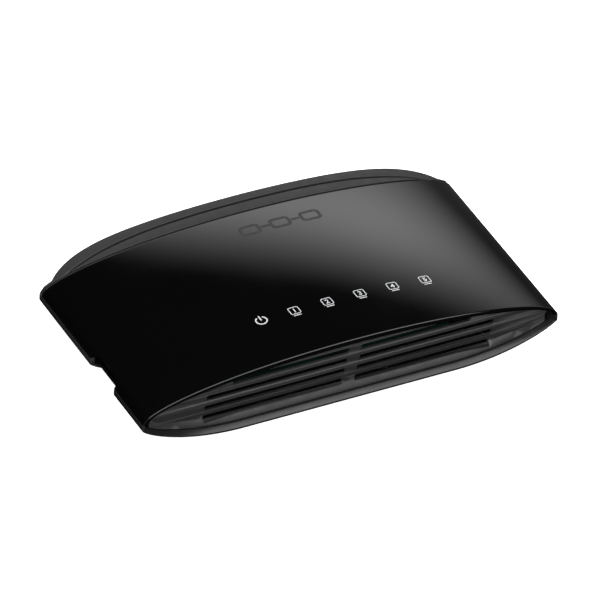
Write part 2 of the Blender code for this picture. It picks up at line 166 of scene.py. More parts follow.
class Finish:
    """A material under construction: its nodes, with helpers that add surface detail."""

    def __init__(self, name, colour, roughness, metallic=0.0, **sockets):
        self.material = bpy.data.materials.new(name)
        self.material.use_nodes = True
        self.nodes = self.material.node_tree.nodes
        self.links = self.material.node_tree.links
        self.shader = self.nodes["Principled BSDF"]
        self.colour = (*colour, 1.0)
        self.shader.inputs["Base Color"].default_value = self.colour
        self.shader.inputs["Roughness"].default_value = roughness
        self.shader.inputs["Metallic"].default_value = metallic
        for key, value in sockets.items():
            self.shader.inputs[key.replace("_", " ")].default_value = value
        self.material.diffuse_color = self.colour
        self.place = self.nodes.new("ShaderNodeTexCoord").outputs["Object"]
        self.normal = None

    def noise(self, per_mm, detail=3.0, stretch=None):
        place = self.place
        if stretch:
            mapping = self.nodes.new("ShaderNodeMapping")
            mapping.inputs["Scale"].default_value = stretch
            self.links.new(place, mapping.inputs["Vector"])
            place = mapping.outputs["Vector"]
        noise = self.nodes.new("ShaderNodeTexNoise")
        noise.inputs["Scale"].default_value = per_mm / MM
        noise.inputs["Detail"].default_value = detail
        self.links.new(place, noise.inputs["Vector"])
        return noise.outputs["Fac"]

    def spread(self, value, low, high, start=0.3, stop=0.7):
        ranged = self.nodes.new("ShaderNodeMapRange")
        ranged.inputs["From Min"].default_value = start
        ranged.inputs["From Max"].default_value = stop
        ranged.inputs["To Min"].default_value = low
        ranged.inputs["To Max"].default_value = high
        self.links.new(value, ranged.inputs["Value"])
        return ranged.outputs["Result"]

    def uneven_gloss(self, low, high, per_mm=0.08, detail=5.0):
        rough = self.spread(self.noise(per_mm, detail), low, high)
        self.links.new(rough, self.shader.inputs["Roughness"])
        return self

    def tint(self, other, amount, start=0.45, stop=0.7):
        """Mix another colour over the present one, where amount (a 0 to 1 value) is high."""
        mix = self.nodes.new("ShaderNodeMix")
        mix.data_type = "RGBA"
        base = self.shader.inputs["Base Color"]
        if base.links:
            self.links.new(base.links[0].from_socket, mix.inputs["A"])
        else:
            mix.inputs["A"].default_value = base.default_value
        mix.inputs["B"].default_value = (*other, 1.0)
        self.links.new(self.spread(amount, 0.0, 1.0, start, stop), mix.inputs["Factor"])
        self.links.new(mix.outputs["Result"], base)
        return self

    def bump(self, height, depth_mm, strength=1.0):
        node = self.nodes.new("ShaderNodeBump")
        node.inputs["Distance"].default_value = depth_mm * MM
        node.inputs["Strength"].default_value = strength
        self.links.new(height, node.inputs["Height"])
        if self.normal:
            self.links.new(self.normal, node.inputs["Normal"])
        self.normal = node.outputs["Normal"]
        self.links.new(self.normal, self.shader.inputs["Normal"])
        return self

    def worn_edges(self, lighter, start=0.52, stop=0.58):
        pointy = self.nodes.new("ShaderNodeNewGeometry").outputs["Pointiness"]
        return self.tint(lighter, pointy, start, stop)


def make_finishes():
    """Every finish in the product, by name."""
    made = {}
    gloss = Finish("cover_gloss_black", (0.0018, 0.0018, 0.002), 0.07, IOR=1.5)
    gloss.uneven_gloss(0.05, 0.1, 0.03).bump(gloss.noise(0.012, 1.0), 0.05, 0.35)
    gloss.tint((0.02, 0.02, 0.022), gloss.noise(9.0, 1.0), 0.74, 0.8)
    made["gloss"] = gloss
    matte = Finish("case_matte_texture", (0.019, 0.019, 0.0193), 0.5, IOR=1.48)
    matte.uneven_gloss(0.42, 0.58, 0.25).bump(matte.noise(2.6, 2.0), 0.03, 0.55)
    matte.tint((0.022, 0.022, 0.0225), matte.noise(0.3, 4.0), 0.4, 0.75).worn_edges((0.06, 0.06, 0.06))
    made["matte"] = matte
    satin = Finish("tray_satin_black", (0.009, 0.009, 0.0095), 0.24, IOR=1.5)
    satin.uneven_gloss(0.2, 0.32, 0.1).bump(satin.noise(1.8, 2.0), 0.012, 0.3)
    satin.worn_edges((0.04, 0.04, 0.04))
    made["satin"] = satin
    ink = Finish("sign_ink", (0.62, 0.63, 0.64), 0.45)
    ink.uneven_gloss(0.38, 0.55, 0.8).tint((0.5, 0.5, 0.51), ink.noise(3.0), 0.5, 0.8)
    made["ink"] = ink
    rubber = Finish("foot_rubber_soft", (0.02, 0.02, 0.02), 0.85)
    rubber.uneven_gloss(0.75, 0.95, 0.6).bump(rubber.noise(3.0), 0.05, 0.5)
    rubber.tint((0.05, 0.048, 0.045), rubber.noise(0.4, 5.0), 0.5, 0.8)
    made["rubber"] = rubber
    metals = (("steel", "zinc_plated", (0.56, 0.57, 0.6), 0.32, (0.4, 0.41, 0.43)),
              ("tin", "tinned_sheet", (0.66, 0.64, 0.6), 0.28, (0.5, 0.48, 0.44)),
              ("gold", "gold_flash", (0.9, 0.66, 0.26), 0.2, (0.75, 0.5, 0.18)),
              ("fins", "anodised_black", (0.05, 0.05, 0.055), 0.4, (0.08, 0.08, 0.085)))
    for key, name, colour, rough, other in metals:
        metal = Finish(name, colour, rough, 1.0)
        metal.uneven_gloss(rough - 0.08, rough + 0.12, 0.5)
        metal.tint(other, metal.noise(0.35, 5.0), 0.45, 0.7)
        metal.bump(metal.noise(1.2, 2.0, (1.0, 14.0, 1.0)), 0.01, 0.35)
        made[key] = metal
    plastics = (("insert", "socket_insert_black", (0.016, 0.016, 0.017), 0.42, (0.026, 0.026, 0.027)),
                ("epoxy", "moulded_epoxy", (0.02, 0.02, 0.022), 0.5, (0.035, 0.035, 0.037)),
                ("sleeve", "shrink_sleeve", (0.012, 0.018, 0.06), 0.3, (0.02, 0.03, 0.08)),
                ("ferrite", "sintered_ferrite", (0.045, 0.045, 0.05), 0.65, (0.07, 0.07, 0.075)),
                ("diode", "diffused_resin", (0.7, 0.8, 0.62), 0.3, (0.55, 0.68, 0.5)))
    for key, name, colour, rough, other in plastics:
        plastic = Finish(name, colour, rough)
        plastic.uneven_gloss(rough - 0.08, rough + 0.1, 0.7)
        plastic.tint(other, plastic.noise(0.8, 4.0)).bump(plastic.noise(2.4), 0.02, 0.4)
        made[key] = plastic
    clear = Finish("light_pipe_acrylic", (0.85, 0.9, 0.9), 0.08, IOR=1.49)
    clear.shader.inputs["Transmission Weight"].default_value = 0.85
    clear.uneven_gloss(0.05, 0.16, 0.4)
    made["clear"] = clear
    made["board"] = board_finish()
    return made


def board_finish():
    """Green solder mask over copper: fine parallel tracks, pads and a little unevenness."""
    board = Finish("solder_mask_green", (0.002, 0.012, 0.006), 0.35)
    tracks = board.nodes.new("ShaderNodeTexWave")
    tracks.inputs["Scale"].default_value = 0.35 / MM
    tracks.inputs["Distortion"].default_value = 3.0
    tracks.inputs["Detail Scale"].default_value = 0.15
    board.links.new(board.place, tracks.inputs["Vector"])
    board.tint((0.004, 0.022, 0.011), tracks.outputs["Fac"], 0.8, 0.86)
    board.tint((0.0015, 0.009, 0.005), board.noise(0.12, 4.0), 0.45, 0.6)
    return board.uneven_gloss(0.28, 0.45, 0.6).bump(tracks.outputs["Fac"], 0.03, 0.4)


FINISHES = make_finishes()


# ---------------------------------------------------------------- mesh helpers

def settle(piece, slot, *nodes):
    """Hang a piece on the root body and hide the CAD nodes that it replaces; slot is not used."""
    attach(piece, "root")
    if nodes:
        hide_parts(*nodes)
    return piece


def to_object(name, shell, finish, smooth=35.0):
    """Turn a bmesh in millimetres into an object in metres."""
    bmesh.ops.recalc_face_normals(shell, faces=shell.faces)
    bmesh.ops.scale(shell, vec=(MM, MM, MM), verts=shell.verts)
    mesh = bpy.data.meshes.new(name)
    shell.to_mesh(mesh)
    shell.free()
    mesh.shade_smooth()
    mesh.set_sharp_from_angle(angle=math.radians(smooth))
    mesh.materials.append(FINISHES[finish].material)
    piece = bpy.data.objects.new(name, mesh)
    bpy.context.collection.objects.link(piece)
    return piece


def add_loft(shell, rings):
    """Add a closed skin through rings of equally many points to a bmesh."""
    loops = [[shell.verts.new(point) for point in ring] for ring in rings]
    for near, far in zip(loops, loops[1:]):
        for i in range(len(near)):
            j = (i + 1) % len(near)
            shell.faces.new((near[i], near[j], far[j], far[i]))
    shell.faces.new(loops[0])
    shell.faces.new(reversed(loops[-1]))


def loft(name, rings, finish, smooth=35.0):
    shell = bmesh.new()
    add_loft(shell, rings)
    return to_object(name, shell, finish, smooth)


def add_box(shell, low, high, bevel=0.0, segments=2):
    made = bmesh.ops.create_cube(shell, size=1.0)["verts"]
    size = [b - a for a, b in zip(low, high)]
    middle = [(a + b) / 2 for a, b in zip(low, high)]
    bmesh.ops.scale(shell, vec=size, verts=made)
    bmesh.ops.translate(shell, vec=middle, verts=made)
    if bevel:
        edges = list({edge for vert in made for edge in vert.link_edges})
        bmesh.ops.bevel(shell, geom=edges, offset=bevel, segments=segments, affect="EDGES")


def box(name, low, high, finish, bevel=0.0, segments=2):
    shell = bmesh.new()
    add_box(shell, low, high, bevel, segments)
    return to_object(name, shell, finish)


def add_turned(shell, centre, profile, sides, axis="Z"):
    rings = []
    for radius, along in profile:
        ring = []
        for i in range(sides):
            turn = 2 * math.pi * i / sides
            a, b = radius * math.cos(turn), radius * math.sin(turn)
            offset = (a, b, along) if axis == "Z" else (a, along, b)
            ring.append([c + d for c, d in zip(centre, offset)])
        rings.append(ring)
    add_loft(shell, rings)


def turned(name, centre, profile, finish, sides=48, axis="Z"):
    shell = bmesh.new()
    add_turned(shell, centre, profile, sides, axis)
    return to_object(name, shell, finish)


def filleted(corners, steps=5):
    """A closed outline with rounded corners: each corner is (a, b, radius)."""
    outline = []
    for i, (a, b, radius) in enumerate(corners):
        here = Vector((a, b))
        if radius <= 0:
            outline.append((a, b))
            continue
        before = (Vector(corners[i - 1][:2]) - here).normalized()
        after = (Vector(corners[(i + 1) % len(corners)][:2]) - here).normalized()
        start, end = here + before * radius, here + after * radius
        for step in range(steps + 1):
            t = step / steps
            point = start.lerp(here, t).lerp(here.lerp(end, t), t)
            outline.append((point.x, point.y))
    return outline


def rounded_rectangle(left, right, low, high, radius, steps=5):
    return filleted([(left, low, radius), (right, low, radius), (right, high, radius),
                     (left, high, radius)], steps)


def apply_modifiers(piece):
    """Bake a piece's modifiers into its mesh, so that no cutter has to stay in the scene."""
    graph = bpy.context.evaluated_depsgraph_get()
    mesh = bpy.data.meshes.new_from_object(piece.evaluated_get(graph), depsgraph=graph)
    piece.modifiers.clear()
    piece.data = mesh
    return piece


def boolean(piece, tools, operation="DIFFERENCE"):
    """Cut, join or intersect a piece with tools and throw the tools away."""
    for tool in tools:
        modifier = piece.modifiers.new(tool.name, "BOOLEAN")
        modifier.operation = operation
        modifier.object = tool
        modifier.solver = "EXACT"
    apply_modifiers(piece)
    for tool in tools:
        bpy.data.objects.remove(tool, do_unlink=True)
    return piece


def soften(piece, width, segments=2, angle=38.0):
    """Round the sharp edges of a piece, then shade it smooth between what stays sharp."""
    modifier = piece.modifiers.new("soft_edges", "BEVEL")
    modifier.width = width * MM
    modifier.segments = segments
    modifier.limit_method = "ANGLE"
    modifier.angle_limit = math.radians(angle)
    modifier.harden_normals = False
    apply_modifiers(piece)
    piece.data.shade_smooth()
    piece.data.set_sharp_from_angle(angle=math.radians(angle + 12))
    return piece


# ---------------------------------------------------------------- curves of the case

def arch_shape(across):
    knee_start = 1 - KNEE / HALF_WIDTH
    knee_rise = (1 - knee_start ** 2) ** ARCH_POWER
    if abs(across) > knee_start:
        return knee_rise * (1 - abs(across)) / (1 - knee_start)
    return (1 - across ** 2) ** ARCH_POWER


def upper(across, inset):
    return across * (HALF_WIDTH - inset), PARTING_Z + arch_shape(across) * (TOP_RISE - inset)


def lower(across, inset):
    curl = max(0.0, (abs(across) * HALF_WIDTH - (HALF_WIDTH - TRAY_CURL)) / TRAY_CURL)
    drop = (1 - curl ** 2) ** TRAY_POWER if curl < 1 else 0.0
    rim_foot = PARTING_Z - GAP - RIM_HEIGHT
    return across * (HALF_WIDTH - inset), rim_foot - (rim_foot - BASE_Z - inset) * drop


def plan_bow(across, reach, power):
    return max(0.0, 1 - (abs(across) * HALF_WIDTH / reach) ** power)


def rear_edge(across):
    bow = plan_bow(across, HOUSING_REACH, PLAN_POWER) ** CORNER_POWER
    bulge = COVER_REAR_Y + (REAR_Y - COVER_REAR_Y) * bow
    return max(bulge, band_split(across) + GROOVE + 1.2)


def cover_edge(across):
    return COVER_REAR_Y + COVER_REAR_BOW * (1 - across ** 2)


def band_split(across):
    return COVER_REAR_Y + BAND_SPLIT_BOW * plan_bow(across, BAND_SPLIT_REACH, SPLIT_POWER)


def crossings(count=STATIONS, reach=1.0):
    return [reach * math.sin(math.pi * (i / count - 0.5)) for i in range(count + 1)]


def grille_y(z):
    height = z - PARTING_Z
    return FRONT_Y + GRILLE_FOOT - GRILLE_LEAN * height + GRILLE_CURVE * max(0.0, height) ** 2


def cover_top(x):
    return PARTING_Z + arch_shape(x / HALF_WIDTH) * TOP_RISE


def height_between(x, top_inset, bottom_inset):
    top = upper(x / (HALF_WIDTH - top_inset), top_inset)[1]
    bottom = lower(x / (HALF_WIDTH - bottom_inset), bottom_inset)[1]
    return bottom, top


def arched(name, outline_at, finish, reach=1.0, count=STATIONS):
    """Loft an outline, given as (inset, y) corners with radii, along the cover's arch."""
    rings = []
    for across in crossings(count, reach):
        ring = []
        for inset, y in filleted(outline_at(across)):
            x, z = upper(across, inset)
            ring.append((x, y, z))
        rings.append(ring)
    return loft(name, rings, finish, 40.0)


# ---------------------------------------------------------------- outer shells

def pocket_cutter(growth):
    half = POCKET_LENGTH / 2 + growth
    top = PARTING_Z + POCKET_RISE + growth
    bottom = PARTING_Z - POCKET_DROP
    inner = -HALF_WIDTH + POCKET_DEPTH + growth
    outline = [(POCKET_Y - half, bottom), (POCKET_Y + half, bottom)]
    steps = 20
    for i in range(steps + 1):
        turn = math.pi * i / steps
        swell = abs(math.sin(turn)) ** 0.6
        outline.append((POCKET_Y + half * math.cos(turn), PARTING_Z + (top - PARTING_Z) * swell))
    rings = [[(x, y, z) for y, z in outline] for x in (-HALF_WIDTH - 5, inner)]
    return loft("pocket_tool", rings, "gloss")


def make_cover():
    def outline(across):
        rear = cover_edge(across)
        return [(0.0, FRONT_Y, 0.7), (0.0, rear, 0.5), (WALL, rear, 0.2), (WALL, FRONT_Y, 0.3)]
    cover = arched("cover_shell", outline, "gloss")
    boolean(cover, [pocket_cutter(0.0)])
    settle(soften(cover, 0.25), "cover_gloss", "top_cover")


def make_housing():
    under = WALL + GAP
    floor = under + HOUSING_WALL

    def outline(across):
        step, rear = band_split(across) + GROOVE, rear_edge(across)
        band = min(0.6, (rear - step) * 0.3)
        return [(under, HOUSING_FRONT_Y, 0), (under, step, 0), (BAND_INSET, step, 0.25),
                (BAND_INSET, rear, band), (floor, rear, 0.3), (floor, HOUSING_FRONT_Y, 0)]
    housing = arched("housing_shell", outline, "matte")
    tools = [pocket_cutter(2.4)]
    half = 2.1
    for x in sign_places():
        low, high = (x - half, SIGN_Y - half, PARTING_Z), (x + half, SIGN_Y + half, 40)
        tools.append(box("pipe_tool", low, high, "matte"))
    boolean(housing, tools)
    settle(housing, "case_matte", "inner_housing")


def make_trim_band():
    def outline(across):
        front, rear = cover_edge(across) + GROOVE + 0.2, band_split(across) - 0.3
        return [(BAND_INSET, front, 0.25), (BAND_INSET, rear, 0.3), (WALL, rear, 0.2),
                (WALL, front, 0.2)]
    band = arched("trim_crescent", outline, "matte", TRIM_REACH)
    settle(soften(band, 0.12), "case_matte", "rear_trim_band")


def tray_outline(across):
    rear = rear_edge(across)
    return [(0.0, FRONT_Y, 0.3), (0.0, rear, 0.8), (REAR_LIP, rear - 0.6, 0.35),
            (REAR_LIP, rear - 2.2, 0.3), (WALL, rear - 2.2, 0), (WALL, FRONT_Y + LIP_SLOPE, 0.4),
            (0.8, FRONT_Y + 0.1, 0.25)]


def tray_ring(across, rim):
    ring = []
    for inset, y in filleted(tray_outline(across)):
        x, z = lower(across, inset)
        ring.append((x, y, PARTING_Z - GAP if rim else z))
    return ring


def make_tray():
    rings = [tray_ring(across, False) for across in crossings()]
    rings = [tray_ring(-1.0, True)] + rings + [tray_ring(1.0, True)]
    tray = loft("tray_shell", rings, "satin", 40.0)
    tools = [pocket_cutter(0.0)]
    for x, y in FOOT_PLACES:
        recess = [(FOOT_RADIUS + GAP, -1.0), (FOOT_RADIUS + GAP, FOOT_TOP + GAP)]
        tools.append(turned("foot_tool", (x, y, 0), recess, "satin", 40))
    for x, y in CASE_SCREWS:
        bore = [(BOSS_BORE, -1.0), (BOSS_BORE, BOSS_SEAT)]
        tools.append(turned("screw_tool", (x, y, 0), bore, "satin", 32))
    boolean(tray, tools)
    settle(soften(tray, 0.2), "tray_satin", "bottom_tray")
    for number, (x, y) in enumerate(CASE_SCREWS, start=1):
        foot = lower(abs(x) / HALF_WIDTH, WALL)[1] - 0.6
        wall = [(4.2, foot + 0.7), (4.2, 13.6), (3.9, 14.2)]
        bore = [(BOSS_BORE, -1), (BOSS_BORE, BOSS_SEAT), (1.8, BOSS_SEAT), (1.8, 20)]
        sleeve = turned(f"tray_boss_{number}", (x, y, 0), wall, "satin", 32)
        boolean(sleeve, [turned("bore_tool", (x, y, 0), bore, "satin", 24)])
        settle(sleeve, "tray_satin")


def louvre_profile():
    """The grille's cross-section (y, z): stepped bars in front, a plain leaning back."""
    top, bottom = PARTING_Z + TOP_RISE, BASE_Z
    half = SLOT_HEIGHT / 2
    front = [(grille_y(top), top)]
    for z in GRILLE_ROWS:
        front.append((grille_y(z + half), z + half))
        front.append((grille_y(z - half), z - half))
        front.append((grille_y(z - half) - LOUVRE_STEP, z - half - 0.15))
        front.append((grille_y(z - half - 1.0) - LOUVRE_STEP * 0.8, z - half - 1.0))
    front.append((grille_y(bottom), bottom))
    back = [(grille_y(z) + GRILLE_THICKNESS, z) for z in (bottom, 10.0, PARTING_Z, 20.0, top)]
    return front + back


def lens_prism():
    """The grille's outline seen from the front, drawn between the cover and the tray."""
    xs = [GRILLE_REACH * across for across in crossings(BORDER_STATIONS)]
    spans = [height_between(x, WALL + GAP, WALL + GAP) for x in xs]
    outline = [(x, low) for x, (low, high) in zip(xs, spans)]
    outline += [(x, high) for x, (low, high) in reversed(list(zip(xs, spans)))]
    rings = [[(x, y, z) for x, z in outline] for y in (FRONT_Y - 6, FRONT_Y + 14)]
    return loft("lens_tool", rings, "matte")


def grille_border():
    """The rounded rim that brings the grille's lower edge forward to the tray."""
    rings = []
    sliver = 0.01                  # keeps the rim's faces off the lens's own faces
    inset = WALL + GAP + sliver
    for across in crossings(BORDER_STATIONS):
        x = across * (GRILLE_REACH - 2 * sliver)
        bottom, top = height_between(x, inset, inset)
        toe = bottom + min(GRILLE_TOE, (top - bottom) / 2)
        toe_y = min(grille_y(toe), FRONT_Y + LIP_SLOPE + GAP)
        middle = (toe_y + grille_y(toe)) / 2 - 0.35
        front = [(toe_y, bottom), (toe_y - 0.1, bottom + 0.5), (middle, (bottom + toe) / 2 + 0.3),
                 (grille_y(toe) - 0.15, toe)]
        back = [(grille_y(toe) + 0.9, toe), (toe_y + 1.0, bottom)]
        rings.append([(x, y, z) for y, z in front + back])
    return loft("border_tool", rings, "matte")


def make_grille():
    profile = louvre_profile()
    ends = [[(x, y, z) for y, z in profile] for x in (-HALF_WIDTH, HALF_WIDTH)]
    grille = loft("louvred_front", ends, "matte")
    boolean(grille, [lens_prism()], "INTERSECT")
    boolean(grille, [grille_border()], "UNION")
    tools = []
    half = SLOT_HEIGHT / 2
    for row, z in enumerate(GRILLE_ROWS):
        end = TOP_SLOT_END if row == 0 else SLOT_END
        for left, right in ((-end, POST_X - POST_WIDTH / 2), (POST_X + POST_WIDTH / 2, end)):
            outline = rounded_rectangle(left, right, z - half, z + half, 0.5, 4)
            rings = [[(x, y, pz) for x, pz in outline] for y in (grille_y(z) - 4, grille_y(z) + 6)]
            tools.append(loft("slot_tool", rings, "matte"))
    boolean(grille, tools)
    settle(soften(grille, 0.14, 2, 30.0), "case_matte", "front_grille")


def make_rear_panel():
    top_inset, foot_inset = WALL + GAP + HOUSING_WALL + GAP, REAR_LIP + GAP
    reach, thickness = HALF_WIDTH - 7.5, 1.8
    rings = []
    for across in crossings(90):
        x = across * reach
        bottom, top = height_between(x, top_inset, foot_inset)
        outer = rear_edge(x / HALF_WIDTH) - 1.4
        inner = outer - thickness
        rings.append([(x, outer, bottom), (x, outer, top), (x, inner, top), (x, inner, bottom)])
    panel = loft("socket_panel", rings, "matte")
    tools = []
    half = JACK_SIZE[0] / 2 - 1.0
    for x in jack_places():
        outline = rounded_rectangle(x - half, x + half, BOARD_TOP + 1.2, BOARD_TOP + 12.4, 0.7)
        rings = [[(px, y, pz) for px, pz in outline] for y in (40, 55)]
        tools.append(loft("port_tool", rings, "matte"))
    hole = [(4.0, 36.0), (4.0, 56.0)]
    tools.append(turned("dc_tool", (DC_X, 0, BOARD_TOP + 5.6), hole, "matte", 40, "Y"))
    boolean(panel, tools)
    settle(soften(panel, 0.25), "case_matte", "rear_panel")


def make_lock_recess():
    inner = -HALF_WIDTH + POCKET_DEPTH + 0.5
    bottom = lower(inner / (HALF_WIDTH - WALL), WALL)[1] + 1.8
    half = POCKET_LENGTH / 2 + 1.0
    low, high = (inner, POCKET_Y - half, bottom), (inner + 1.2, POCKET_Y + half, PARTING_Z + 2.5)
    recess = box("pocket_wall", low, high, "satin", 0.2)
    slot = rounded_rectangle(POCKET_Y - 3.5, POCKET_Y + 3.5, PARTING_Z - 2.3, PARTING_Z + 0.7, 0.8)
    rings = [[(x, y, z) for y, z in slot] for x in (inner - 2, inner + 0.8)]
    boolean(recess, [loft("lock_tool", rings, "satin")])
    settle(soften(recess, 0.1), "tray_satin", "lock_recess")


# ---------------------------------------------------------------- sockets

def jack_places():
    return [JACK_FIRST_X + JACK_PITCH * i for i in range(PORTS)]


def make_jack(number, x):
    """A tinned shield with contact springs, a black insert and eight sprung gold wires."""
    width, depth, height = JACK_SIZE
    floor = BOARD_TOP + GAP
    left, right = x - width / 2, x + width / 2
    back = JACK_MOUTH_Y - depth
    mouth = floor + SOCKET_FLOOR
    half = SOCKET_SIZE[0] / 2
    roof = mouth + SOCKET_SIZE[2]
    sheet = 0.45
    low, high = (left, back, floor), (right, JACK_MOUTH_Y, floor + height)
    shield = box(f"jack_shield_{number}", low, high, "tin", 0.25)
    low = (left + sheet, back - 1, floor + sheet)
    high = (right - sheet, JACK_MOUTH_Y - 0.35, floor + height - sheet)
    boolean(shield, [box("hollow_tool", low, high, "tin")])
    latch = LATCH_SIZE[0] / 2
    outline = [(x - latch, mouth - LATCH_SIZE[2], 0.3), (x + latch, mouth - LATCH_SIZE[2], 0.3),
               (x + latch, mouth, 0.15), (x + half, mouth, 0.3), (x + half, roof, 0.3),
               (x - half, roof, 0.3), (x - half, mouth, 0.3), (x - latch, mouth, 0.15)]

    def mouth_tool(start, grow):
        grown = [(x + (px - x) * (1 + grow / half), pz + grow * (1 if pz > mouth + 1 else -1), r)
                 for px, pz, r in outline]
        section = filleted(grown, 4)
        rings = [[(px, y, pz) for px, pz in section] for y in (start, JACK_MOUTH_Y + 3)]
        return loft("mouth_tool", rings, "tin")

    boolean(shield, [mouth_tool(JACK_MOUTH_Y - 2, 0.12)])
    for side in (-1, 1):
        spring_x = x + side * (width / 2 - 0.15)
        low = (spring_x - 0.12, JACK_MOUTH_Y - 9, floor + 3)
        high = (spring_x + 0.12, JACK_MOUTH_Y - 2, floor + 6)
        boolean(shield, [box("spring_tool", low, high, "tin", 0.1)], "UNION")
    settle(shield, "jack_shield", f"port_jack_{number}")
    insert = box(f"jack_insert_{number}", (left + 0.6, back + 0.4, floor + 0.6),
                 (right - 0.6, JACK_MOUTH_Y - 0.5, floor + height - 0.6), "insert", 0.15)
    boolean(insert, [mouth_tool(JACK_MOUTH_Y - SOCKET_SIZE[1], 0.0)])
    settle(insert, "jack_plastic")
    make_wires(number, x, roof, JACK_MOUTH_Y - SOCKET_SIZE[1])


def make_wires(number, x, roof, back):
    """The wires leave the back wall near the roof and slope down towards the mouth."""
    sides = 8
    route = [(back + 10.5, roof - 0.35), (back + 9.5, roof - 0.5), (back + 4.5, roof - 2.6),
             (back + 3.6, roof - 2.75), (back + 2.8, roof - 2.5), (back + 0.3, roof - 1.2)]
    shell = bmesh.new()
    for i in range(WIRES):
        middle = x + (i - (WIRES - 1) / 2) * WIRE_PITCH
        rings = []
        for k, (y, z) in enumerate(route):
            ahead, behind = route[max(k - 1, 0)], route[min(k + 1, len(route) - 1)]
            run = Vector((ahead[0] - behind[0], ahead[1] - behind[1])).normalized()
            ring = []
            for j in range(sides):
                turn = 2 * math.pi * j / sides
                side, lift = WIRE_RADIUS * math.cos(turn), WIRE_RADIUS * math.sin(turn)
                ring.append((middle + side, y - run.y * lift, z + run.x * lift))
            rings.append(ring)
        add_loft(shell, rings)
    wires = to_object(f"jack_wires_{number}", shell, "gold", 50.0)
    settle(wires, "contact_gold", f"port_contacts_{number}")


def make_dc_inlet():
    width, depth, height = DC_SIZE
    floor = BOARD_TOP + GAP
    centre = floor + DC_AXIS_HEIGHT
    low = (DC_X - width / 2, DC_MOUTH_Y - depth, floor)
    inlet = box("power_inlet", low, (DC_X + width / 2, DC_MOUTH_Y, floor + height), "insert", 0.4)
    bore = [(DC_BORE, DC_MOUTH_Y - 9.5), (DC_BORE, DC_MOUTH_Y - 0.5), (DC_BORE + 0.5, DC_MOUTH_Y + 0.1),
            (DC_BORE + 0.5, DC_MOUTH_Y + 2)]
    boolean(inlet, [turned("bore_tool", (DC_X, 0, centre), bore, "insert", 40, "Y")])
    settle(inlet, "jack_plastic", "dc_inlet")
    pin = [(1.05, DC_MOUTH_Y - 9.2), (1.05, DC_MOUTH_Y - 1.8), (0.95, DC_MOUTH_Y - 1.2),
           (0.6, DC_MOUTH_Y - 0.8)]
    settle(turned("inlet_pin", (DC_X, 0, centre), pin, "tin", 24, "Y"), "jack_shield", "dc_pin")


# ---------------------------------------------------------------- signs and emblem

def sign_places():
    return [SIGN_FIRST_X + SIGN_PITCH * i for i in range(len(SIGN_NAMES))]


def add_ribbon(shell, points, width, closed, lift):
    """A flat stroke along a path in the sign's plane, as a thin closed solid."""
    count = len(points)
    rings = []
    for i, point in enumerate(points):
        before = points[i - 1] if closed or i else point
        after = points[(i + 1) % count] if closed or i < count - 1 else point
        run = (Vector(after) - Vector(before)).normalized()
        side = Vector((-run.y, run.x)) * width / 2
        here = Vector(point)
        left, right = here + side, here - side
        rings.append([(left.x, left.y, lift[0]), (right.x, right.y, lift[0]),
                      (right.x, right.y, lift[1]), (left.x, left.y, lift[1])])
    if not closed:
        add_loft(shell, rings)
        return
    loops = [[shell.verts.new(p) for p in ring] for ring in rings]
    for i in range(count):
        near, far = loops[i], loops[(i + 1) % count]
        for k in range(4):
            shell.faces.new((near[k], near[(k + 1) % 4], far[(k + 1) % 4], far[k]))


def add_digit(shell, digit, size, lift):
    """A plain sans-serif numeral, centred on the sign."""
    text = bpy.data.curves.new("numeral", "FONT")
    text.body = digit
    text.size = size
    text.extrude = (lift[1] - lift[0]) / 2
    text.offset = 0.05
    text.align_x = "CENTER"
    text.resolution_u = 6
    holder = bpy.data.objects.new("numeral", text)
    bpy.context.collection.objects.link(holder)
    graph = bpy.context.evaluated_depsgraph_get()
    mesh = holder.evaluated_get(graph).to_mesh()
    first = len(shell.verts)
    shell.from_mesh(mesh)
    shell.verts.ensure_lookup_table()
    fresh = shell.verts[first:]
    ys = [v.co.y for v in fresh]
    xs = [v.co.x for v in fresh]
    shift = (-(min(xs) + max(xs)) / 2, -(min(ys) + max(ys)) / 2, (lift[0] + lift[1]) / 2)
    bmesh.ops.translate(shell, vec=shift, verts=fresh)
    bpy.data.objects.remove(holder, do_unlink=True)


def wrap_on_cover(shell, x, y):
    """Lay a flat drawing on the arched cover: its z becomes the height above the surface."""
    for vert in shell.verts:
        px, py, lift = x + vert.co.x, y + vert.co.y, vert.co.z
        vert.co = (px, py, cover_top(px) + lift)


def make_sign(name, x):
    lift = (-0.03, 0.03)
    shell = bmesh.new()
    if name == "power":
        steps, stroke = 36, 0.55
        start, sweep = 90 + POWER_OPENING / 2, 360 - POWER_OPENING
        arc = [math.radians(start + sweep * i / steps) for i in range(steps + 1)]
        ring = [(POWER_RADIUS * math.cos(t), POWER_RADIUS * math.sin(t)) for t in arc]
        add_ribbon(shell, ring, stroke, False, lift)
        add_ribbon(shell, [(0, 0.1), (0, 2.7)], stroke, False, lift)
    else:
        border = rounded_rectangle(-SIGN_HALF, SIGN_HALF, -SIGN_HALF, SIGN_HALF, 0.75, 6)
        add_ribbon(shell, border, 0.34, True, lift)
        bar = -SIGN_HALF - 0.95
        add_ribbon(shell, [(-1.5, bar), (1.5, bar)], 0.4, False, lift)
        add_digit(shell, name, 3.2, lift)
    wrap_on_cover(shell, x, SIGN_Y)
    settle(to_object(f"sign_{name}", shell, "ink", 60.0), "cover_gloss")


